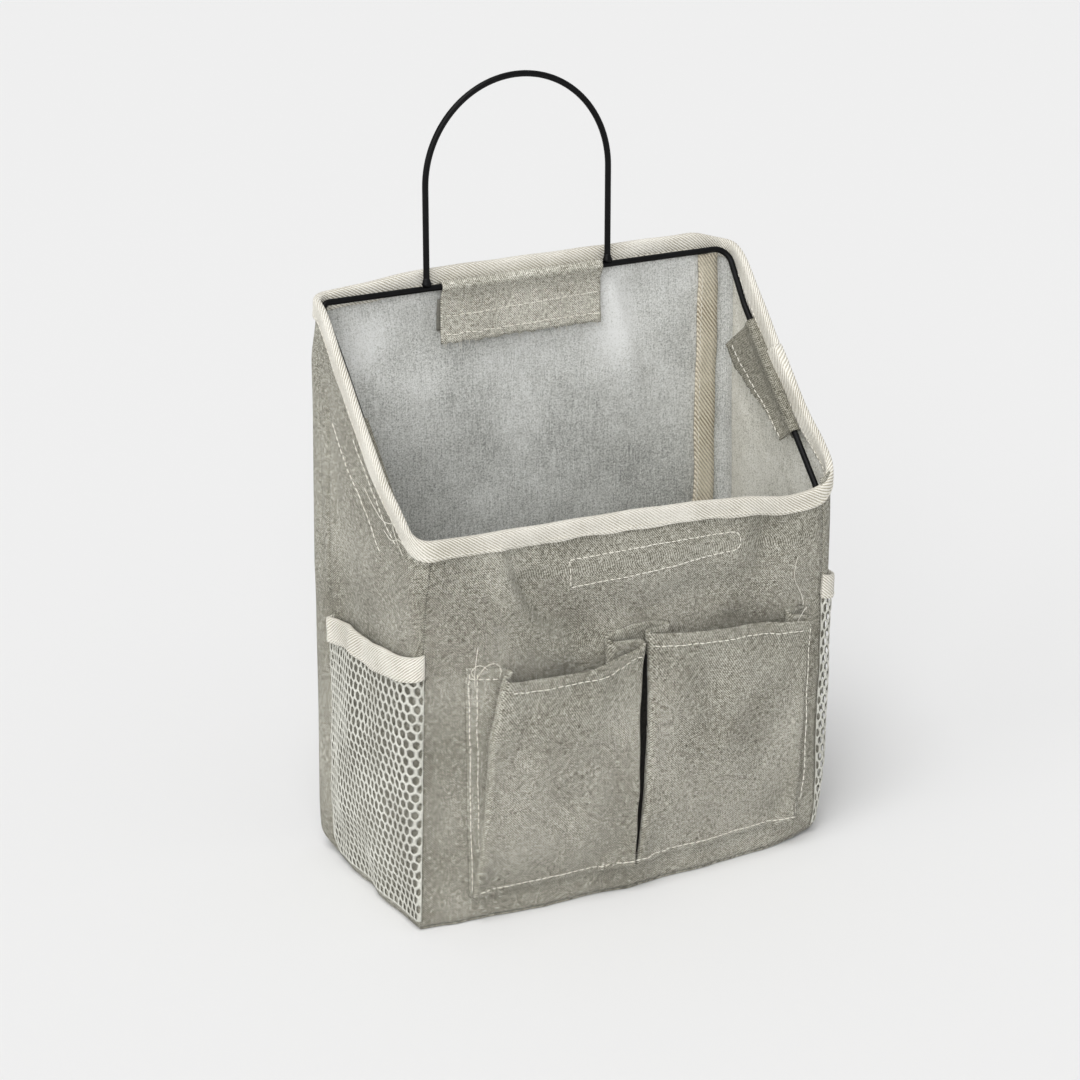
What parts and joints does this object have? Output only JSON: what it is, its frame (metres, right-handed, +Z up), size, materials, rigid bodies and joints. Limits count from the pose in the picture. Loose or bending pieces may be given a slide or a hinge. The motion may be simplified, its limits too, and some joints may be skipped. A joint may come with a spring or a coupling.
{
  "type": "bedside caddy",
  "caption": "Open linen bag with a sloping taped rim on a black wire frame with an arched hanger, pleated front pockets and side net pockets.",
  "frame": {"origin": "centre of the bag's footprint, on the surface that it stands on", "axes": "+Z up, +X to the right seen from the front, +Y towards the wall or bed side behind the bag"},
  "size_m": [0.2452, 0.1241, 0.376],
  "materials": {
    "linen": "grey-beige woven cotton and linen",
    "cotton_tape": "cream twill tape",
    "netting": "off-white knitted mesh",
    "hook_tape": "grey hook tape",
    "loop_tape": "grey napped loop tape",
    "black_wire": "satin black coated wire"
  },
  "bodies": {
    "bag": {"bottom_panel": "linen", "front_panel": "linen", "back_panel": "linen", "left_panel": "linen", "right_panel": "linen", "rim_binding": "cotton_tape", "back_left_seam_tape": "cotton_tape", "back_right_seam_tape": "cotton_tape", "front_left_seam_tape": "cotton_tape", "front_right_seam_tape": "cotton_tape", "bottom_seam_tape": "cotton_tape", "rim_wire": "black_wire", "hanger_arch": "black_wire", "left_weld": "black_wire", "right_weld": "black_wire", "back_hook_strip": "hook_tape", "front_hook_strip": "hook_tape", "left_hook_strip": "hook_tape", "right_hook_strip": "hook_tape", "front_pockets": "linen", "left_net": "netting", "right_net": "netting", "left_net_binding": "cotton_tape", "right_net_binding": "cotton_tape"},
    "back_leaf": {"back_flap": "linen", "back_loop_strip": "loop_tape"},
    "front_leaf": {"front_flap": "linen", "front_loop_strip": "loop_tape"},
    "left_leaf": {"left_flap": "linen", "left_loop_strip": "loop_tape"},
    "right_leaf": {"right_flap": "linen", "right_loop_strip": "loop_tape"}
  },
  "joints": [
    {"name": "back_flap_hinge", "type": "hinge", "parent": "bag", "child": "back_leaf", "pos_m": [-0.0075, 0.0444, 0.278], "axis": [-1, 0, 0], "range_deg": [0, 150]},
    {"name": "front_flap_hinge", "type": "hinge", "parent": "bag", "child": "front_leaf", "pos_m": [0.0105, -0.0444, 0.1745], "axis": [1, 0, 0], "range_deg": [0, 150]},
    {"name": "left_flap_hinge", "type": "hinge", "parent": "bag", "child": "left_leaf", "pos_m": [-0.1094, -0.013, 0.2088], "axis": [0, -0.6752, -0.7376], "range_deg": [0, 150]},
    {"name": "right_flap_hinge", "type": "hinge", "parent": "bag", "child": "right_leaf", "pos_m": [0.1069, 0.0005, 0.22355], "axis": [0, 0.6752, 0.7376], "range_deg": [-8, 130]}
  ]
}
